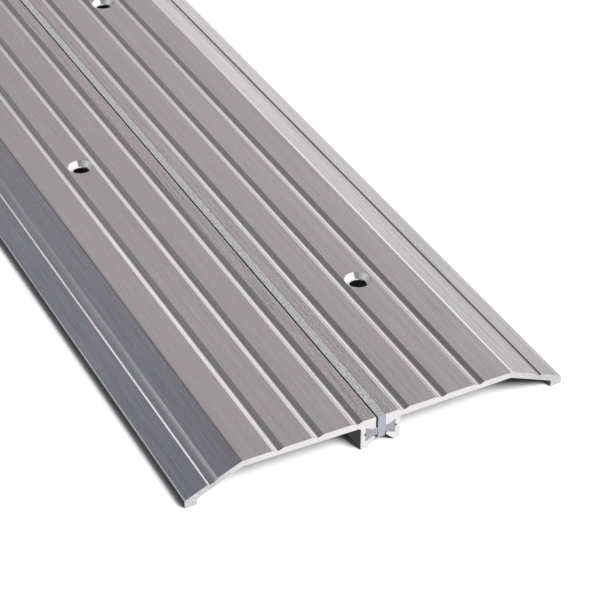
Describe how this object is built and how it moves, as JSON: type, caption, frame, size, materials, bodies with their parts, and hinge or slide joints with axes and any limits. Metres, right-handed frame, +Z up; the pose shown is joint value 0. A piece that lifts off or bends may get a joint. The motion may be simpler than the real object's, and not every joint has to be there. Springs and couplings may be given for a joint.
{
  "type": "thermal break saddle threshold",
  "caption": "Fluted metal saddle threshold for a doorway: two ramped extruded halves joined by a rigid vinyl thermal break, with countersunk screw holes.",
  "frame": {"origin": "on the floor, under the middle of the strip", "axes": "+Y along the strip, +Z up from the floor, +X across it towards the half with four screw holes"},
  "size_m": [0.1524, 0.9144, 0.0127],
  "materials": {
    "mill_aluminium": "mill finish, fine lengthwise die lines",
    "rigid_vinyl": "matt grey extruded vinyl"
  },
  "bodies": {
    "root": {"left_tread_half": "mill_aluminium", "right_tread_half": "mill_aluminium", "thermal_break_strip": "rigid_vinyl"}
  },
  "joints": []
}
